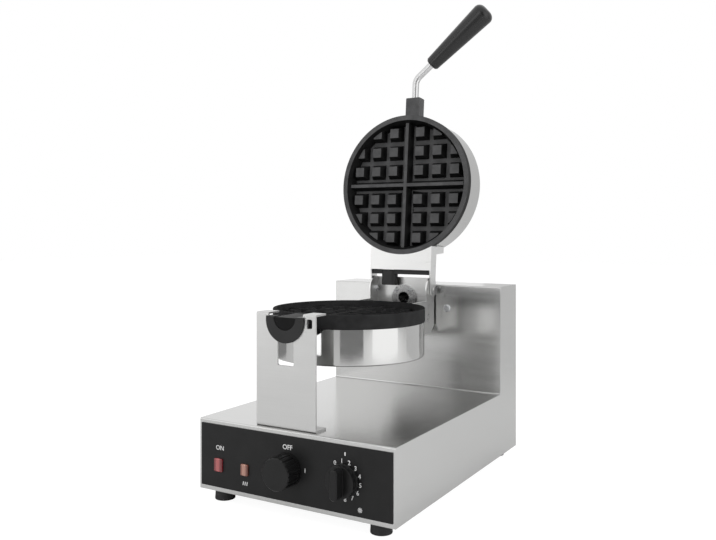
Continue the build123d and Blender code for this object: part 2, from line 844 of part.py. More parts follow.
with BuildPart() as grip:
    with BuildSketch(Plane(origin=bend_point, x_dir=grip_way, z_dir=(0, 0, 1))):
        with BuildLine():
            dome_start = (grip_tip - grip_dome, grip_large_radius)
            Polyline(
                (grip_tip, 0),
                (grip_start + grip_socket, 0),
                (grip_start + grip_socket, rod_radius + pin_play),
                (grip_start, rod_radius + pin_play),
                (grip_start, grip_small_radius - grip_collar_step),
                (grip_start + grip_collar, grip_small_radius),
                dome_start,
            )
            RadiusArc(dome_start, (grip_tip, grip_end_radius), grip_dome_radius)
            Line((grip_tip, grip_end_radius), (grip_tip, 0))
        make_face()
    revolve(axis=Axis(bend_point, grip_way))
lid["grip"] = grip


# Hinge: the upper bracket's ears turn outside the lower bracket's, on two shoulder pins
pin_z = axis_z + pin_rise
lid_face_z = axis_z + half_gap
lower_half_width = hinge_half_width - hinge_sheet - hinge_side_gap
web_end_y = pin_y - web_to_pin
web_rear_y = tower_front_y - web_setback
upper_flange_z = lid_face_z + upper_flange_height
upper_shell_radius = upper_radius - shell_step
lower_shell_radius = lower_radius - shell_step


def both_flanges(half_width):
    """The planes of the left and right flanges' left faces."""
    return side_plane(axis_x - half_width), side_plane(axis_x + half_width - hinge_sheet)


def saddle(radius, half_width, low_z, height):
    """A curved strip that seats on a mould's shell, with holes for its two screws."""
    with BuildPart() as strip:
        with BuildSketch(Plane.XY.offset(low_z)):
            with Locations((axis_x, mould_y)):
                Circle(radius + seat_gap + hinge_sheet)
                Circle(radius + seat_gap, mode=Mode.SUBTRACT)
            with Locations((axis_x, mould_y + radius)):
                Rectangle(2 * half_width, radius, mode=Mode.INTERSECT)
        extrude(amount=height)
        for turn in (-strap_screw_angle, strap_screw_angle):
            with BuildSketch(strap_screw_plane(radius, low_z + height / 2, turn)):
                Circle(strap_screw_radius + screw_play)
            extrude(amount=-2 * hinge_sheet, mode=Mode.SUBTRACT)
    return strip


def strap_screw_plane(radius, z, turn):
    """Where a saddle's screw sits: on its outside, facing away from the mould."""
    out = Vector(sin(radians(turn)), cos(radians(turn)), 0)
    origin = Vector(axis_x, mould_y, z) + out * (radius + seat_gap + hinge_sheet)
    return Plane(origin=origin, x_dir=(0, 0, 1), z_dir=out)


lower_bracket_z = axis_z - lower_bracket_drop
upper_saddle_z = upper_flange_z + upper_saddle_rise
lower_saddle_z = lower_bracket_z + lower_saddle_rise
upper_saddle_top_z = upper_saddle_z + upper_saddle_height
upper_saddle = saddle(upper_shell_radius, hinge_half_width, upper_saddle_z, upper_saddle_height)
lower_saddle = saddle(lower_shell_radius, lower_half_width, lower_saddle_z, lower_saddle_height)

with BuildPart() as upper_bracket:
    for plane in both_flanges(hinge_half_width):
        with BuildSketch(plane):
            with BuildLine():
                Polyline(
                    (mould_y + upper_radius / 2, lid_face_z),
                    (web_end_y, lid_face_z),
                    (pin_y, pin_z - ear_radius),
                    (pin_y, pin_z + ear_radius),
                    (web_end_y + upper_flange_run, upper_flange_z),
                    (mould_y + upper_radius - upper_flange_inset, upper_flange_z),
                    (mould_y + upper_radius - saddle_top_inset, upper_saddle_top_z),
                    (mould_y + upper_radius / 2, upper_saddle_top_z),
                    close=True,
                )
            make_face()
            with Locations((pin_y, pin_z)):
                Circle(ear_radius)
        extrude(amount=hinge_sheet)
    with BuildSketch(Plane.XY.offset(lid_face_z)):
        with Locations((axis_x, (mould_y + upper_radius / 2 + web_end_y) / 2)):
            Rectangle(2 * hinge_half_width, web_end_y - mould_y - upper_radius / 2)
    extrude(amount=hinge_sheet)
    with BuildSketch(Plane.XY.offset(lid_face_z)):
        with Locations((axis_x, mould_y)):
            Circle(upper_radius + seat_gap)
    extrude(amount=upper_saddle_top_z - lid_face_z, mode=Mode.SUBTRACT)
    add(upper_saddle.part)
    with BuildSketch(side_plane(axis_x - hinge_half_width)):
        with Locations((pin_y, pin_z)):
            Circle(pin_radius + pin_play)
    extrude(amount=2 * hinge_half_width, mode=Mode.SUBTRACT)
lid["upper_bracket"] = upper_bracket

with BuildPart() as hinge_insulator:
    with BuildSketch(front_plane(web_end_y)):
        with Locations((axis_x, (lid_face_z + hinge_sheet + insulator_play + upper_flange_z) / 2)):
            Rectangle(2 * (hinge_half_width - hinge_sheet - insulator_play),
                      upper_flange_z - lid_face_z - hinge_sheet - insulator_play)
        with Locations((axis_x + sleeve_offset, lid_face_z + sleeve_rise)):
            RectangleRounded(sleeve_size[0] + 2 * screw_play, sleeve_size[1] + 2 * screw_play, sleeve_corner,
                             mode=Mode.SUBTRACT)
    extrude(amount=-insulator_depth)
lid["hinge_insulator"] = hinge_insulator

with BuildPart() as cable_sleeve:
    with BuildSketch(front_plane(web_end_y + sleeve_wall_gap)):
        with Locations((axis_x + sleeve_offset, lid_face_z + sleeve_rise)):
            RectangleRounded(sleeve_size[0], sleeve_size[1], sleeve_corner)
            Circle(sleeve_bore, mode=Mode.SUBTRACT)
    extrude(amount=-sleeve_length)
lid["cable_sleeve"] = cable_sleeve

lid["upper_bracket_screws"] = screws(
    [strap_screw_plane(upper_shell_radius, upper_saddle_z + upper_saddle_height / 2, turn)
     for turn in (-strap_screw_angle, strap_screw_angle)],
    strap_screw_radius, strap_screw_head_radius, strap_screw_head, hinge_sheet + seat_gap - screw_tip_gap,
)
pieces["lower_bracket_screws"] = screws(
    [strap_screw_plane(lower_shell_radius, lower_saddle_z + lower_saddle_height / 2, turn)
     for turn in (-strap_screw_angle, strap_screw_angle)],
    strap_screw_radius, strap_screw_head_radius, strap_screw_head, hinge_sheet + seat_gap - screw_tip_gap,
)

shaft_screw_spots = [
    (axis_x + spot.position.X, axis_z + spot.position.Y)
    for spot in PolarLocations(shaft_screw_circle, 4, start_angle=45)
]
web_low_z = lower_bracket_z + lower_bracket_corner
web_high_z = pin_z + lower_ear_radius - web_top_inset
lower_flange_top_z = axis_z - half_gap - lower_flange_inset
with BuildPart() as lower_bracket:
    for plane in both_flanges(lower_half_width):
        with BuildSketch(plane):
            with BuildLine():
                Polyline(
                    (mould_y + lower_radius / 2, lower_bracket_z),
                    (web_rear_y - lower_bracket_corner, lower_bracket_z),
                    (web_rear_y, web_low_z),
                    (web_rear_y, pin_z),
                    (pin_y - lower_ear_radius, pin_z),
                    (pin_y - lower_ear_radius, lower_flange_top_z),
                    (mould_y + lower_radius / 2, lower_flange_top_z),
                    close=True,
                )
            make_face()
            with Locations((pin_y, pin_z)):
                Circle(lower_ear_radius)
            with Locations((web_rear_y, pin_z)):
                Rectangle(2 * lower_ear_radius, 2 * lower_ear_radius, align=(Align.MIN, Align.CENTER),
                          mode=Mode.SUBTRACT)
        extrude(amount=hinge_sheet)
    with BuildSketch(front_plane(web_rear_y)):
        with Locations((axis_x, (web_low_z + web_high_z) / 2)):
            Rectangle(2 * lower_half_width, web_high_z - web_low_z)
        with Locations((axis_x, axis_z)):
            Circle(shaft_radius + screw_play, mode=Mode.SUBTRACT)
        with Locations(*shaft_screw_spots):
            Circle(strap_screw_radius + screw_play, mode=Mode.SUBTRACT)
    extrude(amount=hinge_sheet)
    with BuildSketch(Plane.XY.offset(lower_bracket_z)):
        with Locations((axis_x, mould_y)):
            Circle(lower_radius + seat_gap)
    extrude(amount=lower_bracket_drop, mode=Mode.SUBTRACT)
    add(lower_saddle.part)
    with BuildSketch(side_plane(axis_x - lower_half_width)):
        with Locations((pin_y, pin_z)):
            Circle(pin_radius + pin_play)
    extrude(amount=2 * lower_half_width, mode=Mode.SUBTRACT)
pieces["lower_bracket"] = lower_bracket

pin_length = 2 * hinge_sheet + hinge_side_gap + pin_head_gap + pin_nut + pin_tip
with BuildPart() as hinge_pins:
    for side in (-1, 1):
        outer = axis_x + side * (hinge_half_width + pin_head_gap)
        with BuildSketch(side_plane(outer)):
            with Locations((pin_y, pin_z)):
                Circle(pin_head_radius)
        extrude(amount=side * pin_head)
        with BuildSketch(side_plane(outer)):
            with Locations((pin_y, pin_z)):
                Circle(pin_radius)
        extrude(amount=-side * pin_length)
pieces["hinge_pins"] = hinge_pins

with BuildPart() as hinge_nuts:
    for side in (-1, 1):
        inner = axis_x + side * (lower_half_width - hinge_sheet)
        with BuildSketch(side_plane(inner)):
            with Locations((pin_y, pin_z)):
                RegularPolygon(pin_nut_radius, 6)
                Circle(pin_radius + pin_play, mode=Mode.SUBTRACT)
        extrude(amount=-side * pin_nut)
pieces["hinge_nuts"] = hinge_nuts


# Hollow shaft on the back of the lower bracket, its bush, collar and bearing plate in the tower
web_front_y = web_rear_y - hinge_sheet
with BuildPart() as rotor_shaft:
    with BuildSketch(front_plane(web_front_y)):
        with Locations((axis_x, axis_z)):
            Circle(shaft_radius)
    extrude(amount=-(hinge_sheet + shaft_reach))
    with BuildSketch(front_plane(web_front_y)):
        with Locations((axis_x, axis_z)):
            Circle(shaft_flange_radius)
        with Locations(*shaft_screw_spots):
            Circle(strap_screw_radius + screw_play, mode=Mode.SUBTRACT)
    extrude(amount=shaft_flange)
    with BuildSketch(front_plane(web_front_y - shaft_flange)):
        with Locations((axis_x, axis_z)):
            Circle(shaft_bore)
    extrude(amount=-(shaft_flange + hinge_sheet + shaft_reach), mode=Mode.SUBTRACT)
pieces["rotor_shaft"] = rotor_shaft

pieces["shaft_screws"] = screws(
    [Plane(origin=(x, web_front_y - shaft_flange, z), x_dir=(1, 0, 0), z_dir=(0, -1, 0))
     for x, z in shaft_screw_spots],
    strap_screw_radius, strap_screw_head_radius, strap_screw_head, shaft_flange + hinge_sheet,
)

bush_radius = shaft_radius + bush_play + bush_wall
with BuildPart() as shaft_bush:
    with BuildSketch(front_plane(tower_front_y)):
        with Locations((axis_x, axis_z)):
            Circle(bush_radius)
    extrude(amount=-bush_length)
    with BuildSketch(front_plane(tower_front_y)):
        with Locations((axis_x, axis_z)):
            Circle(bush_flange_radius)
    extrude(amount=web_setback - collar_gap)
    with BuildSketch(front_plane(web_rear_y)):
        with Locations((axis_x, axis_z)):
            Circle(shaft_radius + bush_play)
    extrude(amount=-(bush_length + web_setback), mode=Mode.SUBTRACT)
pieces["shaft_bush"] = shaft_bush

with BuildPart() as shaft_collar:
    with BuildSketch(front_plane(tower_front_y + bush_length + collar_gap)):
        with Locations((axis_x, axis_z)):
            Circle(collar_radius)
            Circle(shaft_radius + bush_play, mode=Mode.SUBTRACT)
    extrude(amount=-collar_length)
pieces["shaft_collar"] = shaft_collar

with BuildPart() as bearing_mount:
    with BuildSketch(front_plane(tower_front_y + sheet)):
        with Locations((axis_x, axis_z - bearing_plate_drop)):
            RectangleRounded(bearing_plate_size[0], bearing_plate_size[1], bearing_plate_corner)
        with Locations((axis_x, axis_z)):
            Circle(shaft_hole, mode=Mode.SUBTRACT)
        with Locations(*bearing_bolt_places):
            Circle(bearing_bolt_radius + screw_play, mode=Mode.SUBTRACT)
    extrude(amount=-bearing_plate)
pieces["bearing_plate"] = bearing_mount

pieces["bearing_bolts"] = screws(
    [Plane(origin=(x, tower_front_y, z), x_dir=(1, 0, 0), z_dir=(0, -1, 0)) for x, z in bearing_bolt_places],
    bearing_bolt_radius, bearing_bolt_head_radius, bearing_bolt_head, sheet + bearing_plate + screw_tail,
)


# The lid is drawn closed, so it is swung open about the hinge pins
hinge_axis = Axis((axis_x, pin_y, pin_z), (1, 0, 0))
for name, piece in lid.items():
    with BuildPart() as opened:
        add(piece.part.rotate(hinge_axis, -open_angle))
    pieces[name] = opened

for name, piece in pieces.items():
    piece.part.label = name
    export_step(piece.part, f"parts/{name}.step")
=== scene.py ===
import json
import math

import bpy
from mathutils import Matrix, Vector

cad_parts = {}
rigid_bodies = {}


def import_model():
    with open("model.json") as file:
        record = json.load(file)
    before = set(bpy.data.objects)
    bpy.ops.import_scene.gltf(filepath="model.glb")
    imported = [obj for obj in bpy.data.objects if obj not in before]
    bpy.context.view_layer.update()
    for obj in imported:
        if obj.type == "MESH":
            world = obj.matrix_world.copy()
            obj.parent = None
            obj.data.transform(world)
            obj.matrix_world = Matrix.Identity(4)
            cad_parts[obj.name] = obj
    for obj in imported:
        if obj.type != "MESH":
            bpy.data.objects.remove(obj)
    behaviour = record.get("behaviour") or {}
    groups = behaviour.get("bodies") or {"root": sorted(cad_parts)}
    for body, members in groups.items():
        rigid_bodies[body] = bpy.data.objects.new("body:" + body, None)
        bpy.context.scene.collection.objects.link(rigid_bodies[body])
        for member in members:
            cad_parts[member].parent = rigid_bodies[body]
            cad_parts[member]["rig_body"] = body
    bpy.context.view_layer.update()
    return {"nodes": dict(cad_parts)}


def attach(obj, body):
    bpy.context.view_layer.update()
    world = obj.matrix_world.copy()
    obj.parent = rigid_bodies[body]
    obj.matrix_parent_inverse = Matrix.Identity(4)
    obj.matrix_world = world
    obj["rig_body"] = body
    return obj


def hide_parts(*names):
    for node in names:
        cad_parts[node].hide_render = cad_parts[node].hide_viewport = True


# Rotating waffle maker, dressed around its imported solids. Metres, with Z up and Y to the rear.

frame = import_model()
nodes = frame["nodes"]
print("loaded", len(nodes), "nodes")


# Camera

cameraLook = {
    "place": (0.48465, -0.85929, 0.3055),
    "turn": 30.446,  # degrees left of straight ahead
    "lens": 39.84,
    "sensor": 36.0,
    "shift": -0.0579,
}


def addCamera(look):
    bpy.ops.object.camera_add(location=look["place"],
                              rotation=(math.radians(90), 0, math.radians(look["turn"])))
    camera = bpy.context.object
    camera.name = "photoCamera"
    camera.data.lens = look["lens"]
    camera.data.sensor_width = look["sensor"]
    camera.data.shift_y = look["shift"]
    camera.data.dof.use_dof = False
    bpy.context.scene.camera = camera


addCamera(cameraLook)
bpy.context.scene.view_settings.view_transform = "Standard"
print("camera placed")


# Shader tools

class Wire:
    # one socket of a node tree, so that shader maths can be written as sums
    def __init__(self, shade, socket):
        self.shade = shade
        self.socket = socket

    def maths(self, operation, other, swapped=False):
        first, second = (other, self) if swapped else (self, other)
        return self.shade.node("ShaderNodeMath", {"operation": operation}, {0: first, 1: second})

    def __add__(self, other):
        return self.maths("ADD", other)

    def __radd__(self, other):
        return self.maths("ADD", other, True)

    def __sub__(self, other):
        return self.maths("SUBTRACT", other)

    def __rsub__(self, other):
        return self.maths("SUBTRACT", other, True)

    def __mul__(self, other):
        return self.maths("MULTIPLY", other)

    def __rmul__(self, other):
        return self.maths("MULTIPLY", other, True)

    def __truediv__(self, other):
        return self.maths("DIVIDE", other)

    def __rtruediv__(self, other):
        return self.maths("DIVIDE", other, True)

    def above(self, edge):
        return self.maths("GREATER_THAN", edge)

    def largest(self, other):
        return self.maths("MAXIMUM", other)

    def size(self):
        return self.maths("ABSOLUTE", 0)


class Shade:
    # one material or world, and the few ways its nodes are added
    def __init__(self, owner):
        self.owner = owner
        owner.use_nodes = True
        self.tree = owner.node_tree
        self.tree.nodes.clear()

    def node(self, kind, settings=None, sockets=None, output=0):
        made = self.tree.nodes.new(kind)
        for name, value in (settings or {}).items():
            setattr(made, name, value)
        for key, value in (sockets or {}).items():
            if isinstance(value, Wire):
                self.tree.links.new(value.socket, made.inputs[key])
            else:
                made.inputs[key].default_value = value
        return Wire(self, made.outputs[output]) if made.outputs else made

    def place(self, centre=(0, 0, 0), scale=(1, 1, 1)):
        # where a point lies on the piece, measured from a centre and then scaled
        spot = self.node("ShaderNodeTexCoord", output="Object")
        moved = self.node("ShaderNodeVectorMath", {"operation": "SUBTRACT"}, {0: spot, 1: centre})
        return self.node("ShaderNodeMapping", {"vector_type": "POINT"}, {"Vector": moved, "Scale": scale})

    def normal(self):
        # the way a face looks, in the piece's own axes
        return self.node("ShaderNodeTexCoord", output="Normal")

    def noise(self, vector, scale=1.0, detail=3.0, roughness=0.55):
        return self.node("ShaderNodeTexNoise", {"noise_dimensions": "3D"},
                         {"Vector": vector, "Scale": scale, "Detail": detail, "Roughness": roughness})

    def mixTone(self, amount, first, second):
        return self.node("ShaderNodeMix", {"data_type": "RGBA", "clamp_factor": True},
                         {0: amount, 6: first, 7: second}, output=2)

    def fit(self, amount, low, high, toLow=0.0, toHigh=1.0):
        return self.node("ShaderNodeMapRange", {"clamp": True},
                         {0: amount, 1: low, 2: high, 3: toLow, 4: toHigh})

    def bump(self, height, strength, depth):
        return self.node("ShaderNodeBump", None, {"Strength": strength, "Distance": depth, "Height": height})

    def surface(self, **sockets):
        named = {key.replace("_", " "): value for key, value in sockets.items()}
        self.finishWith(self.node("ShaderNodeBsdfPrincipled", None, named))
        return self.owner

    def finishWith(self, shader):
        kind = "World" if isinstance(self.owner, bpy.types.World) else "Material"
        self.node("ShaderNodeOutput" + kind, None, {"Surface": shader})


def newShade(name):
    return Shade(bpy.data.materials.new(name))


def tone(value, tint=(1, 1, 1)):
    return (value * tint[0], value * tint[1], value * tint[2], 1)


# Finishes

brushedLook = {
    "fineGrain": 2600,
    "longGrain": 8,  # along the streaks
    "broadGrain": 110,
    "noiseSpan": (0.35, 0.65),
    "roughShift": 0.03,
    "bumpStrength": 0.1,
    "bumpDepth": 0.00002,
    "tint": (1, 1, 0.99),
    "endFacing": 0.7,  # past this a face looks along the grain
}


def grainAlong(shade, axis, scale):
    # streaks that run along one axis of the piece
    stretch = [scale, scale, scale]
    stretch["XYZ".index(axis)] = brushedLook["longGrain"]
    return shade.noise(shade.place(scale=tuple(stretch)), 1.0, 2.0)


def brushedSteel(name, level, roughness, axes="YX", streaks=0.02):
    # the grain follows the first axis, and the second on faces that look along the first
    look = brushedLook
    shade = newShade(name)
    fine = grainAlong(shade, axes[0], look["fineGrain"])
    broad = grainAlong(shade, axes[0], look["broadGrain"])
    if len(axes) > 1:
        facing = shade.node("ShaderNodeSeparateXYZ", None, {0: shade.normal()}, output=axes[0])
        ends = facing.size().above(look["endFacing"])
        fine = fine * (1 - ends) + grainAlong(shade, axes[1], look["fineGrain"]) * ends
        broad = broad * (1 - ends) + grainAlong(shade, axes[1], look["broadGrain"]) * ends
    streak = fine * 0.5 + broad * 0.5
    low, high = look["noiseSpan"]
    dim, bright = [tone(level * share, look["tint"]) for share in (1 - streaks, 1 + streaks)]
    colour = shade.mixTone(shade.fit(streak, low, high), dim, bright)
    shine = shade.fit(streak, low, high, roughness - look["roughShift"], roughness + look["roughShift"])
    return shade.surface(Base_Color=colour, Metallic=1.0, Roughness=shine,
                         Normal=shade.bump(fine, look["bumpStrength"], look["bumpDepth"]))


ironLook = {
    "sandGrain": 900,
    "patchGrain": 64.2857,
    "shadeFacingSpan": (0.8, 0.96),  # how squarely a face must look the facing way to take the painted face tone rather than the painted wall tone
    "bumpStrength": 0.3,
    "bumpDepth": 0.0002,
    "tint": (1, 1, 1.02),
}


def castIron(name, level, paintedWallLevel, facing, roughness=0.5, gloss=0.2):
    # faces that look the facing way get the painted face tone, and the walls between them get the painted
    # wall tone: painted light and shade for how light falls on the pattern
    look = ironLook
    shade = newShade(name)
    spot = shade.place()
    sand = shade.noise(spot, look["sandGrain"], 4.0, 0.6)
    patch = shade.noise(spot, look["patchGrain"], 3.0, 0.6)
    shadeFacing = shade.node("ShaderNodeVectorMath", {"operation": "DOT_PRODUCT"},
                         {0: shade.normal(), 1: facing}, output=1)
    cloudy = shade.fit(patch, 0.35, 0.65)
    paintedFaceTone = shade.mixTone(cloudy, tone(level * 0.8, look["tint"]), tone(level * 1.25, look["tint"]))
    paintedWallTone = shade.mixTone(cloudy, tone(paintedWallLevel * 0.8, look["tint"]), tone(paintedWallLevel * 1.2, look["tint"]))
    colour = shade.mixTone(shade.fit(shadeFacing, *look["shadeFacingSpan"]), paintedWallTone, paintedFaceTone)
    return shade.surface(Base_Color=colour, Metallic=0.0, Specular_IOR_Level=gloss,
                         Roughness=shade.fit(patch, 0.3, 0.7, roughness - 0.08, roughness + 0.1),
                         Normal=shade.bump(sand, look["bumpStrength"], look["bumpDepth"]))


plasticLook = {"wearGrain": 45, "bumpDepth": 0.0001}


def mouldedPlastic(name, level, roughness, grain=1800, strength=0.08, gloss=0.5, tint=(1, 1, 1.02)):
    shade = newShade(name)
    spot = shade.place()
    skin = shade.noise(spot, grain, 2.0)
    wear = shade.noise(spot, plasticLook["wearGrain"], 3.0)
    colour = shade.mixTone(shade.fit(wear, 0.35, 0.65), tone(level * 0.9, tint), tone(level * 1.15, tint))
    return shade.surface(Base_Color=colour, Specular_IOR_Level=gloss,
                         Roughness=shade.fit(wear, 0.3, 0.7, roughness - 0.04, roughness + 0.05),
                         Normal=shade.bump(skin, strength, plasticLook["bumpDepth"]))


metalLook = {"rubGrain": 220, "noiseSpan": (0.3, 0.7), "roughShift": 0.03, "worn": 0.94}


def plainMetal(name, level, roughness, tint=(1, 1, 1)):
    shade = newShade(name)
    low, high = metalLook["noiseSpan"]
    rub = shade.noise(shade.place(), metalLook["rubGrain"], 3.0)
    shift = metalLook["roughShift"]
    shine = shade.fit(rub, low, high, roughness - shift, roughness + shift)
    dim = tone(level * metalLook["worn"], tint)
    colour = shade.mixTone(shade.fit(rub, low, high), dim, tone(level, tint))
    return shade.surface(Base_Color=colour, Metallic=1.0, Roughness=shine)


lensLook = {
    "ribPitch": 0.0022,
    "brightSpan": (0.0005, 0.0042),  # from the middle line outwards
    "valleyShare": 0.35,
    "roughness": 0.22,
    "coat": 0.6,
    "glow": 0.05,
    "bumpStrength": 0.5,
    "bumpDepth": 0.0004,
}


def lampLens(name, deep, pale, x):
    # moulded ribs run up the lens, and the middle is paler where the lamp shines through
    look = lensLook
    shade = newShade(name)
    spot = shade.node("ShaderNodeSeparateXYZ", None, {0: shade.place(centre=(x, 0, 0))}, output="X")
    rib = (spot / look["ribPitch"]).maths("PINGPONG", 0.5) * 2
    middle = shade.fit(spot.size(), *look["brightSpan"], 1.0, 0.0)
    ribbed = look["valleyShare"] + rib * (1 - look["valleyShare"])
    colour = shade.mixTone(middle * ribbed, (*deep, 1), (*pale, 1))
    return shade.surface(Base_Color=colour, Roughness=look["roughness"], Coat_Weight=look["coat"],
                         Emission_Color=colour, Emission_Strength=look["glow"],
                         Normal=shade.bump(rib, look["bumpStrength"], look["bumpDepth"]))


lidFace = (0, -0.9962, 0.0872)  # the way the open lid's pattern looks, which sets where its painted light and shade go
# the lower plate's pattern looks up, which sets where its painted shade goes
panFace = (0, 0, 1)
finishes = {
    "stainless": brushedSteel("standSteel", level=0.59, roughness=0.2),
    "bracket": brushedSteel("bracketSteel", level=0.6, roughness=0.34, axes="X"),
    "strap": brushedSteel("strapSteel", level=0.78, roughness=0.3, axes="X"),
    "shell": brushedSteel("spunShell", level=0.58, roughness=0.08, axes="X", streaks=0.01),
    "zinc": plainMetal("zincPlate", level=0.6, roughness=0.34, tint=(0.97, 0.98, 1)),
    # painted shade: a darkened copy of the zinc, for the bearing plate
    "shadedZinc": plainMetal("shadedZinc", level=0.19, roughness=0.4),
    "pin": plainMetal("turnedSteel", level=0.55, roughness=0.25),
    "chrome": plainMetal("rodChrome", level=0.66, roughness=0.2),
    "bronze": plainMetal("bearingBronze", level=0.5, roughness=0.35, tint=(1, 0.76, 0.42)),
    "heater": plainMetal("heaterSheath", level=0.2, roughness=0.5, tint=(1, 0.94, 0.88)),
    "lidIron": castIron("lidPlate", level=0.055, paintedWallLevel=0.005, facing=lidFace),
    # painted shade: the lower plate's iron is a much darker copy of the lid's iron
    "panIronInShade": castIron("lowerPlate", level=0.002, paintedWallLevel=0.02, facing=panFace,
                        roughness=0.65, gloss=0.03),
    "lidLug": castIron("lidLug", level=0.06, paintedWallLevel=0.06, facing=lidFace),
    # painted shade: the lower lug's iron is a much darker copy of the lid's lug
    "panLugInShade": castIron("lowerLug", level=0.006, paintedWallLevel=0.006, facing=panFace, gloss=0.1),
    "grip": mouldedPlastic("gripPlastic", level=0.006, roughness=0.24, strength=0.04),
    "moulded": mouldedPlastic("mouldedBlack", level=0.014, roughness=0.45, gloss=0.3),
    "knob": mouldedPlastic("knobPlastic", level=0.005, roughness=0.36, gloss=0.3),
    "panel": mouldedPlastic("panelSheet", level=0.010, roughness=0.42, grain=2600,
                            strength=0.05, gloss=0.22),
    "rubber": mouldedPlastic("footRubber", level=0.012, roughness=0.68, strength=0.2),
    "ceramic": mouldedPlastic("ceramicBlock", level=0.62, roughness=0.5, tint=(1, 0.98, 0.93)),
    "print": mouldedPlastic("whitePrint", level=0.7, roughness=0.5, strength=0.0, tint=(1, 1, 1)),
    "red": lampLens("redLens", deep=(0.14, 0.01, 0.014), pale=(0.52, 0.13, 0.13), x=-0.0968),
    "amber": lampLens("amberLens", deep=(0.14, 0.04, 0.025), pale=(0.55, 0.3, 0.23), x=-0.0601),
}
print("finishes ready", len(finishes))


# Tools for the pieces

def pickOnly(*chosen):
    if bpy.context.object and bpy.context.object.mode != "OBJECT":
        bpy.ops.object.mode_set(mode="OBJECT")
    bpy.ops.object.select_all(action="DESELECT")
    for piece in chosen:
        piece.select_set(True)
    bpy.context.view_layer.objects.active = chosen[0]


def useModifier(piece, kind, **settings):
    pickOnly(piece)
    modifier = piece.modifiers.new(kind.lower(), kind)
    for name, value in settings.items():
        setattr(modifier, name, value)
    bpy.ops.object.modifier_apply(modifier=modifier.name)


mergeLook = {"gap": 0.000005, "flatAngle": 0.4}
edgeAngle = math.radians(34)  # corners sharper than this are rounded and shaded apart


def copyNode(node, name):
    # the node's own mesh, merged, with its flat faces made whole again
    piece = bpy.data.objects.new(name, nodes[node].data.copy())
    bpy.context.scene.collection.objects.link(piece)
    pickOnly(piece)
    bpy.ops.mesh.customdata_custom_splitnormals_clear()
    bpy.ops.object.mode_set(mode="EDIT")
    bpy.ops.mesh.select_all(action="SELECT")
    bpy.ops.mesh.remove_doubles(threshold=mergeLook["gap"])
    bpy.ops.mesh.dissolve_limited(angle_limit=math.radians(mergeLook["flatAngle"]))
    bpy.ops.object.mode_set(mode="OBJECT")
    return piece


def soften(piece, width, segments=2):
    useModifier(piece, "BEVEL", width=width, segments=segments, limit_method="ANGLE",
                angle_limit=edgeAngle, use_clamp_overlap=True, miter_outer="MITER_ARC")
    pickOnly(piece)
    bpy.ops.object.shade_smooth_by_angle(angle=edgeAngle)
    useModifier(piece, "WEIGHTED_NORMAL", keep_sharp=True)


def settle(piece, body, finish, slot, *stands):
    piece.data.materials.clear()
    piece.data.materials.append(finishes[finish])
    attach(piece, body)
    if stands:
        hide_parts(*stands)
    return piece


def dress(node, name, finish, slot, edge, segments=2):
    piece = copyNode(node, name)
    soften(piece, edge, segments)
    return settle(piece, nodes[node]["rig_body"], finish, slot, node)


def dressAll(looks):
    return {name: dress(name=name, **look) for name, look in looks.items()}


def colourNode(node, finish):
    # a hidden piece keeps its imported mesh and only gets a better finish
    nodes[node].data.materials.clear()
    nodes[node].data.materials.append(finishes[finish])


# Stand

standLooks = {
    "standShell": {"node": "housing", "finish": "stainless", "slot": "stainless", "edge": 0.0004},
    "standFloor": {"node": "bottom_plate", "finish": "zinc", "slot": "zinc_steel", "edge": 0.0003},
    "rearPanel": {"node": "rear_cover", "finish": "stainless", "slot": "stainless", "edge": 0.0003},
    "rubberFeet": {"node": "feet", "finish": "rubber", "slot": "foot_rubber", "edge": 0.0008},
    "cordGland": {"node": "cord_gland", "finish": "moulded", "slot": "moulded_black", "edge": 0.0004},
    "frontPanel": {"node": "control_panel", "finish": "panel", "slot": "panel_black", "edge": 0.0002},
}
dressAll(standLooks)
for hidden in ("thermostat_body", "timer_body", "gland_nut"):
    colourNode(hidden, "moulded")
colourNode("terminal_block", "ceramic")
for hidden in ("thermostat_spindle", "timer_spindle"):
    colourNode(hidden, "pin")
print("stand dressed")


# Lamps and knobs

controlLooks = {
    "redLamp": {"node": "red_lamp", "finish": "red", "slot": "red_lens", "edge": 0.0005, "segments": 3},
    "orangeLamp": {"node": "orange_lamp", "finish": "amber", "slot": "amber_lens", "edge": 0.0005,
                   "segments": 3},
    "heatKnob": {"node": "thermostat_knob", "finish": "knob", "slot": "knob_black", "edge": 0.0006,
                 "segments": 3},
    "timeKnob": {"node": "timer_knob", "finish": "knob", "slot": "knob_black", "edge": 0.0005,
                 "segments": 3},
}
dressAll(controlLooks)
print("controls dressed")


# Front support

supportLooks = {
    "frontBracket": {"node": "front_bracket", "finish": "bracket", "slot": "bracket_steel", "edge": 0.0004},
    "halfBearing": {"node": "bracket_liner", "finish": "moulded", "slot": "moulded_black", "edge": 0.0004},
    # painted shade: the bearing plate takes the darkened zinc
    "bearingPlate": {"node": "bearing_plate", "finish": "shadedZinc", "slot": "zinc_steel", "edge": 0.0004},
    "shaftBush": {"node": "shaft_bush", "finish": "bronze", "slot": "bearing_bronze", "edge": 0.0003},
}
dressAll(supportLooks)
print("front support dressed")


# Moulds

mouldLooks = {
    "lowerWafflePlate": {"node": "lower_plate", "finish": "panIronInShade", "slot": "black_iron", "edge": 0.0005},
    "lowerRing": {"node": "lower_shell", "finish": "shell", "slot": "shell_steel", "edge": 0.0002},
    "lowerLug": {"node": "lower_lug", "finish": "panLugInShade", "slot": "lug_iron", "edge": 0.0006},
}
dressAll(mouldLooks)
for hidden in ("lower_heater", "upper_heater"):
    colourNode(hidden, "heater")
print("moulds dressed")


# Lid forms that the solids lack: pegs with more draft, a thinner iron band, and the handle's block set back.
# They are drawn closed, from the middle of the pattern's face with Z into the lid, and then opened.

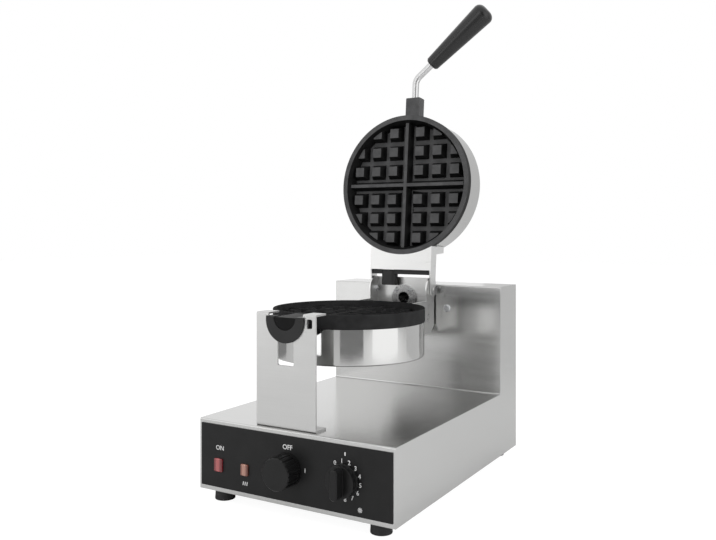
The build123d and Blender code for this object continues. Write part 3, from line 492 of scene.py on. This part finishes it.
lidLook = {
    "centre": (-0.011, -0.0375, 0.2114),
    "pin": (-0.011, 0.105, 0.223),
    "openTurn": -95,
    "radius": 0.0958,
    "band": 0.0085,
    "spigotRadius": 0.0931,
    "spigotEnd": 0.0220,
    "cavityRadius": 0.0892,
    "cavityDepth": 0.0160,
    "pegTop": 0.0055,
    "pegSize": 0.0128,
    "pegPlaces": (0.0198, 0.0462, 0.0726),
    "pegLimit": 0.0860,
    "barWidth": 0.0045,
    "barInset": 0.0030,  # from the cavity's edge to a bar's end
    "draft": 20,
    "sunk": 0.0004,  # how deep pegs and bars run into the floor
    "breakOut": 0.0010,  # how far a cut starts in front of the face
    "plateEdge": 0.0004,
    "shellEdge": 0.0002,
    "shellFront": 0.0165,
    "blockWide": 0.0215,
    "blockThick": 0.0160,
    "blockEnds": (-0.1250, -0.0930),
    "blockDepth": 0.0263,
    "blockEdge": 0.0014,
    "solidDepth": 0.0072,  # how deep the solids have the rod
    "handleRise": 0.0062,
    "bendPlace": (0, -0.1455),  # where the rod bends, in the plane of the lid
    "bendTurn": 50,
    "gripStart": 0.030,
    "gripShare": 0.90,
}


def openedPlace():
    pin = Matrix.Translation(lidLook["pin"])
    return (pin @ Matrix.Rotation(math.radians(lidLook["openTurn"]), 4, "X") @ pin.inverted()
            @ Matrix.Translation(lidLook["centre"]))


def addRound(lowRadius, highRadius, low, high):
    bpy.ops.object.select_all(action="DESELECT")
    bpy.ops.mesh.primitive_cone_add(vertices=160, radius1=lowRadius, radius2=highRadius, depth=high - low)
    disc = bpy.context.object
    disc.data.transform(Matrix.Translation((0, 0, (low + high) / 2)))
    return disc


def addDrafted(x, y, wide, deep, low, high):
    # a block that widens with depth, as a cast peg does for its draft
    grow = 2 * (high - low) * math.tan(math.radians(lidLook["draft"]))
    bpy.ops.object.select_all(action="DESELECT")
    bpy.ops.mesh.primitive_cube_add(size=1)
    peg = bpy.context.object
    for corner in peg.data.vertices:
        extra = grow if corner.co.z > 0 else 0
        corner.co = (x + corner.co.x * (wide + extra), y + corner.co.y * (deep + extra),
                     high if corner.co.z > 0 else low)
    return peg


def combine(piece, other, operation):
    useModifier(piece, "BOOLEAN", operation=operation, object=other, solver="EXACT")
    bpy.data.objects.remove(other)


def addLidPlate():
    look = lidLook
    floor = look["cavityDepth"] + look["sunk"]
    slope = math.tan(math.radians(look["draft"]))
    plate = addRound(look["radius"], look["radius"], 0, look["band"])
    spigot = addRound(look["spigotRadius"], look["spigotRadius"], look["breakOut"], look["spigotEnd"])
    combine(plate, spigot, "UNION")
    mouth = look["cavityRadius"] + look["breakOut"] * slope
    bottom = look["cavityRadius"] - look["cavityDepth"] * slope
    cavity = addRound(mouth, bottom, -look["breakOut"], look["cavityDepth"])
    combine(plate, cavity, "DIFFERENCE")
    pegs = []
    size = look["pegSize"]
    for x in look["pegPlaces"]:
        for y in look["pegPlaces"]:
            if math.hypot(x, y) < look["cavityRadius"]:
                pegs += [addDrafted(sideX * x, sideY * y, size, size, look["pegTop"], floor)
                         for sideX in (-1, 1) for sideY in (-1, 1)]
    pickOnly(*pegs)
    bpy.ops.object.join()
    field = bpy.context.object
    combine(field, addRound(look["pegLimit"], look["pegLimit"], 0, 2 * floor), "INTERSECT")
    combine(plate, field, "UNION")
    length = 2 * (look["cavityRadius"] - look["barInset"])
    combine(plate, addDrafted(0, 0, look["barWidth"], length, look["pegTop"], floor), "UNION")
    combine(plate, addDrafted(0, 0, length, look["barWidth"], look["pegTop"], floor), "UNION")
    plate.name = "upperWafflePlate"
    plate.data.transform(openedPlace())
    soften(plate, look["plateEdge"])
    return settle(plate, "lid", "lidIron", "black_iron", "upper_plate")


def addLidShell():
    # the solid's shell, with its front brought forward to the iron band
    shell = copyNode("upper_shell", "upperRing")
    opened = openedPlace()
    closed = opened.inverted()
    for corner in shell.data.vertices:
        spot = closed @ corner.co
        if spot.z < lidLook["shellFront"] + lidLook["shellEdge"]:
            spot.z -= lidLook["shellFront"] - lidLook["band"]
            corner.co = opened @ spot
    soften(shell, lidLook["shellEdge"])
    return settle(shell, "lid", "shell", "shell_steel", "upper_shell")


def addLidBlock():
    start, stop = lidLook["blockEnds"]
    bpy.ops.object.select_all(action="DESELECT")
    bpy.ops.mesh.primitive_cube_add(size=1)
    block = bpy.context.object
    block.name = "upperLug"
    block.data.transform(openedPlace() @ Matrix.Translation((0, (start + stop) / 2, lidLook["blockDepth"]))
                         @ Matrix.Diagonal((lidLook["blockWide"], stop - start, lidLook["blockThick"], 1)))
    soften(block, lidLook["blockEdge"], 3)
    return settle(block, "lid", "lidLug", "lug_iron", "upper_lug")


addLidPlate()
addLidShell()
addLidBlock()
print("lid modelled")


# Hinge, shaft and straps

hingeLooks = {
    "lowerStrap": {"node": "lower_bracket", "finish": "strap", "slot": "bracket_steel", "edge": 0.0004},
    "upperStrap": {"node": "upper_bracket", "finish": "strap", "slot": "bracket_steel", "edge": 0.0004},
    "heatBlock": {"node": "hinge_insulator", "finish": "moulded", "slot": "moulded_black", "edge": 0.0004},
    "leadSleeve": {"node": "cable_sleeve", "finish": "moulded", "slot": "moulded_black", "edge": 0.0004},
    "turnShaft": {"node": "rotor_shaft", "finish": "pin", "slot": "pin_steel", "edge": 0.0003},
    "shaftCollar": {"node": "shaft_collar", "finish": "pin", "slot": "pin_steel", "edge": 0.0003},
    "hingePins": {"node": "hinge_pins", "finish": "pin", "slot": "pin_steel", "edge": 0.0004},
    "hingeNuts": {"node": "hinge_nuts", "finish": "zinc", "slot": "zinc_steel", "edge": 0.0002},
}
dressAll(hingeLooks)
print("hinge dressed")


# Handle

handleLooks = {
    "handleRod": {"node": "handle_rod", "finish": "chrome", "slot": "rod_chrome", "edge": 0.0003},
    "handleGrip": {"node": "grip", "finish": "grip", "slot": "grip_black", "edge": 0.0008, "segments": 3},
}
handle = dressAll(handleLooks)
opened = openedPlace()
bend = math.radians(lidLook["bendTurn"])
gripWay = Vector((math.sin(bend), -math.cos(bend), 0))
gripFoot = Vector((*lidLook["bendPlace"], lidLook["solidDepth"])) + gripWay * lidLook["gripStart"]
shorten = (Matrix.Translation(gripFoot) @ Matrix.Scale(lidLook["gripShare"], 4, gripWay)
           @ Matrix.Translation(-gripFoot))
setBack = Matrix.Translation((0, -lidLook["handleRise"], lidLook["blockDepth"] - lidLook["solidDepth"]))
handle["handleRod"].data.transform(opened @ setBack @ opened.inverted())
handle["handleGrip"].data.transform(opened @ setBack @ shorten @ opened.inverted())
print("handle dressed")


# Screws: rounded heads with a cross recess

screwLooks = {
    "bracket_screws": {"name": "bracketScrews", "facing": (0, 0, 1), "head": 0.0038},
    "foot_screws": {"name": "footScrews", "facing": (0, 0, -1), "head": 0.0038},
    "cover_screws": {"name": "coverScrews", "facing": (0, 1, 0), "head": 0.0038},
    "bearing_bolts": {"name": "bearingBolts", "facing": (0, -1, 0), "head": 0.0054},
    "lower_mould_screws": {"name": "lowerMouldScrews", "facing": (0, 0, -1), "head": 0.0038},
    "shaft_screws": {"name": "shaftScrews", "facing": (0, -1, 0), "head": 0.003},
}
recess = {"length": 1.15, "width": 0.28, "depth": 0.3, "round": 0.16}  # shares of the head's radius
crownDepth = 0.00001  # corners this near to the outermost one belong to the head's top


def loosePieces(piece):
    # the screws of a group as separate objects
    pickOnly(piece)
    bpy.ops.object.mode_set(mode="EDIT")
    bpy.ops.mesh.select_all(action="SELECT")
    bpy.ops.mesh.separate(type="LOOSE")
    bpy.ops.object.mode_set(mode="OBJECT")
    return list(bpy.context.selected_objects)


def headCentre(piece, facing):
    reach = max(v.co.dot(facing) for v in piece.data.vertices)
    crown = [v.co for v in piece.data.vertices if v.co.dot(facing) > reach - crownDepth]
    return sum(crown, Vector()) / len(crown)


def cutCross(piece, facing, head):
    centre = headCentre(piece, facing)
    turn = facing.to_track_quat("Z", "Y")
    bars = []
    for length, width in ((recess["length"], recess["width"]), (recess["width"], recess["length"])):
        bpy.ops.object.select_all(action="DESELECT")
        bpy.ops.mesh.primitive_cube_add(size=1)
        bar = bpy.context.object
        bar.matrix_world = (Matrix.Translation(centre) @ turn.to_matrix().to_4x4()
                            @ Matrix.Diagonal((length * head, width * head, 2 * recess["depth"] * head, 1)))
        bars.append(bar)
    for bar in bars:
        useModifier(piece, "BOOLEAN", operation="DIFFERENCE", object=bar, solver="EXACT")
    for bar in bars:
        bpy.data.objects.remove(bar)


def addScrews(node, name, facing, head):
    facing = Vector(facing)
    group = loosePieces(copyNode(node, name))
    for screw in group:
        useModifier(screw, "BEVEL", width=recess["round"] * head, segments=3, limit_method="ANGLE",
                    angle_limit=math.radians(30), use_clamp_overlap=True)
        cutCross(screw, facing, head)
    pickOnly(*group)
    bpy.ops.object.join()
    joined = bpy.context.object
    joined.name = name
    bpy.ops.object.shade_smooth_by_angle(angle=math.radians(40))
    return settle(joined, nodes[node]["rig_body"], "zinc", "zinc_steel", node)


for node, look in screwLooks.items():
    addScrews(node, **look)
for hidden in ("upper_mould_screws", "lower_bracket_screws", "upper_bracket_screws"):
    colourNode(hidden, "zinc")
print("screws cut")


# White print on the panel: numbers round the dial, and plain signs

printLook = {
    "face": -0.176,
    "thickness": 0.00006,
    "dialPlace": (0.0665, 0.051),
    "dialRing": 0.0193,
    "numberStart": -33.8,  # degrees clockwise from the top
    "numberStep": 26.2,
    "numbers": "012345678",
    "numberHeight": 0.0046,
    "sizePerHeight": 1.4,  # a letter's size setting for its height
    "weight": 0.00008,
    "signs": {
        "ON": (-0.0954, 0.0609, 0.0052),
        "OFF": (-0.0033, 0.0744, 0.0052),
        "1": (0.0190, 0.0530, 0.0046),
    },
    "heatSign": {"places": (-0.0625, -0.0599, -0.0573), "z": 0.0271, "width": 0.0011, "height": 0.0042,
                 "turn": 12},
    "startTick": {"x": 0.0678, "z": 0.0778, "width": 0.0014, "height": 0.0034},
    "star": {"x": 0.0853, "z": 0.0239, "width": 0.0008, "height": 0.0054, "turns": (0, 45, 90, 135)},
    "zeroTick": {"x": 0.0500, "z": 0.0545, "width": 0.0011, "height": 0.0060},
}


def addText(words, x, z, height):
    bpy.ops.object.select_all(action="DESELECT")
    bpy.ops.object.text_add()
    text = bpy.context.object
    text.data.body = words
    text.data.size = height * printLook["sizePerHeight"]
    text.data.align_x = "CENTER"
    text.data.align_y = "CENTER"
    text.data.extrude = printLook["thickness"] / 2
    text.data.offset = printLook["weight"]
    text.data.resolution_u = 3
    bpy.ops.object.convert(target="MESH")
    text = bpy.context.object
    upright = Matrix.Rotation(math.radians(90), 4, "X")
    text.data.transform(Matrix.Translation((x, printLook["face"], z)) @ upright)
    return text


def addStroke(x, z, width, height, turn=0):
    bpy.ops.object.select_all(action="DESELECT")
    bpy.ops.mesh.primitive_cube_add(size=1)
    stroke = bpy.context.object
    stroke.data.transform(Matrix.Translation((x, printLook["face"], z))
                          @ Matrix.Rotation(math.radians(turn), 4, "Y")
                          @ Matrix.Diagonal((width, printLook["thickness"], height, 1)))
    return stroke


def addPrint():
    look = printLook
    marks = []
    dialX, dialZ = look["dialPlace"]
    for i, number in enumerate(look["numbers"]):
        turn = math.radians(look["numberStart"] + i * look["numberStep"])
        marks.append(addText(number, dialX + look["dialRing"] * math.sin(turn),
                             dialZ + look["dialRing"] * math.cos(turn), look["numberHeight"]))
    for words, (x, z, height) in look["signs"].items():
        marks.append(addText(words, x, z, height))
    heat = look["heatSign"]
    for x in heat["places"]:
        marks.append(addStroke(x, heat["z"], heat["width"], heat["height"], heat["turn"]))
    marks.append(addStroke(**look["startTick"]))
    star = look["star"]
    for turn in star["turns"]:
        marks.append(addStroke(star["x"], star["z"], star["width"], star["height"], turn))
    marks.append(addStroke(**look["zeroTick"]))
    pickOnly(*marks)
    bpy.ops.object.join()
    joined = bpy.context.object
    joined.name = "panelPrint"
    return settle(joined, "base", "print", "panel_black")


addPrint()
print("panel printed")


# Stage: a pale floor, plain lights, and cards that only shiny metal sees

stageLook = {
    "floorTone": 0.6,
    "skyLight": 0.62,
    "floorGlow": 1.27,
    "whiteShare": 0.74,  # how much of the glow the camera sees, and the rest of the floor keeps the shadow
    "cardRadius": 1.1,
    "floorSize": 12,
    "floorDrop": 0.0005,  # how far the floor lies under the feet
    "cameraWay": -60.7,  # degrees, from the object to the camera, and the cards are turned from there
}
cards = {
    "greyCard": {"start": -12, "stop": 20, "low": 0.0, "high": 1.2, "level": 0.26},
    "softBox": {"start": 33, "stop": 74, "low": 0.0, "high": 1.2, "level": 1.45},
    "towerCard": {"start": -55, "stop": -50.5, "low": 0.0, "high": 1.2, "level": 0.05},
    "towerGlow": {"start": -50, "stop": -36, "low": 0.0, "high": 1.2, "level": 1.8},
    "leftGlow": {"start": -74, "stop": -60, "low": 0.0, "high": 1.2, "level": 1.4},
    "sideCard": {"start": 92, "stop": 165, "low": 0.0, "high": 1.2, "level": 0.7},
    "rearCard": {"start": -150, "stop": -100, "low": 0.0, "high": 0.5, "level": 0.3},
}
lights = {
    "keyLight": {"place": (1.5, -0.15, 0.7), "aim": (0, 0, 0.2), "size": 1.2, "watts": 18},
    "overheadLight": {"place": (0, -0.2, 1.8), "aim": (0, 0, 0.1), "size": 2.0, "watts": 20},
    "fillLight": {"place": (-0.9, -1.4, 0.8), "aim": (0, 0, 0.15), "size": 1.5, "watts": 8},
}


def seenDirectly(shade):
    path = shade.node("ShaderNodeLightPath", output="Is Camera Ray")
    ways = path.socket.node.outputs
    mirrored = Wire(shade, ways["Is Glossy Ray"])
    passed = Wire(shade, ways["Is Transmission Ray"])
    return path.largest(mirrored).largest(passed)


def addFloor():
    bpy.ops.object.select_all(action="DESELECT")
    bpy.ops.mesh.primitive_plane_add(size=stageLook["floorSize"], location=(0, 0, -stageLook["floorDrop"]))
    floor = bpy.context.object
    floor.name = "floor"
    shade = newShade("paleFloor")
    plain = shade.node("ShaderNodeBsdfDiffuse", None, {"Color": tone(stageLook["floorTone"])})
    glow = shade.node("ShaderNodeEmission", None, {"Color": tone(1.0), "Strength": stageLook["floorGlow"]})
    seen = shade.node("ShaderNodeLightPath", output="Is Camera Ray") * stageLook["whiteShare"]
    shade.finishWith(shade.node("ShaderNodeMixShader", None, {0: seen, 1: plain, 2: glow}))
    floor.data.materials.append(shade.owner)


def addSky():
    world = bpy.data.worlds.new("paleSky")
    bpy.context.scene.world = world
    shade = Shade(world)
    light = shade.node("ShaderNodeBackground", None, {"Color": tone(1.0), "Strength": stageLook["skyLight"]})
    white = shade.node("ShaderNodeBackground", None, {"Color": tone(1.0), "Strength": 1.0})
    shade.finishWith(shade.node("ShaderNodeMixShader", None, {0: seenDirectly(shade), 1: light, 2: white}))


def addCard(name, start, stop, low, high, level):
    ends = [math.radians(stageLook["cameraWay"] + turn) for turn in (start, stop)]
    first, last = [Vector((math.cos(turn), math.sin(turn), 0)) * stageLook["cardRadius"] for turn in ends]
    middle = (first + last) / 2
    bpy.ops.object.select_all(action="DESELECT")
    bpy.ops.mesh.primitive_plane_add(size=1)
    card = bpy.context.object
    card.name = name
    across = (last - first).normalized()
    up = Vector((0, 0, 1))
    standing = Matrix((across, up, across.cross(up))).transposed().to_4x4()
    card.matrix_world = (Matrix.Translation((middle.x, middle.y, (low + high) / 2)) @ standing
                         @ Matrix.Diagonal(((last - first).length, high - low, 1, 1)))
    shade = newShade(name + "Glow")
    shade.finishWith(shade.node("ShaderNodeEmission", None, {"Color": tone(1.0), "Strength": level}))
    card.data.materials.append(shade.owner)
    card.visible_camera = False
    card.visible_diffuse = False
    card.visible_transmission = False
    card.visible_volume_scatter = False
    card.visible_shadow = False


def addLight(name, place, aim, size, watts):
    bpy.ops.object.select_all(action="DESELECT")
    bpy.ops.object.light_add(type="AREA", location=place)
    lamp = bpy.context.object
    lamp.name = name
    lamp.data.shape = "DISK"
    lamp.data.size = size
    lamp.data.energy = watts
    lamp.visible_glossy = False
    lamp.rotation_euler = (Vector(aim) - Vector(place)).to_track_quat("-Z", "Y").to_euler()


addFloor()
addSky()
for name, card in cards.items():
    addCard(name, **card)
for name, light in lights.items():
    addLight(name, **light)
print("stage lit")
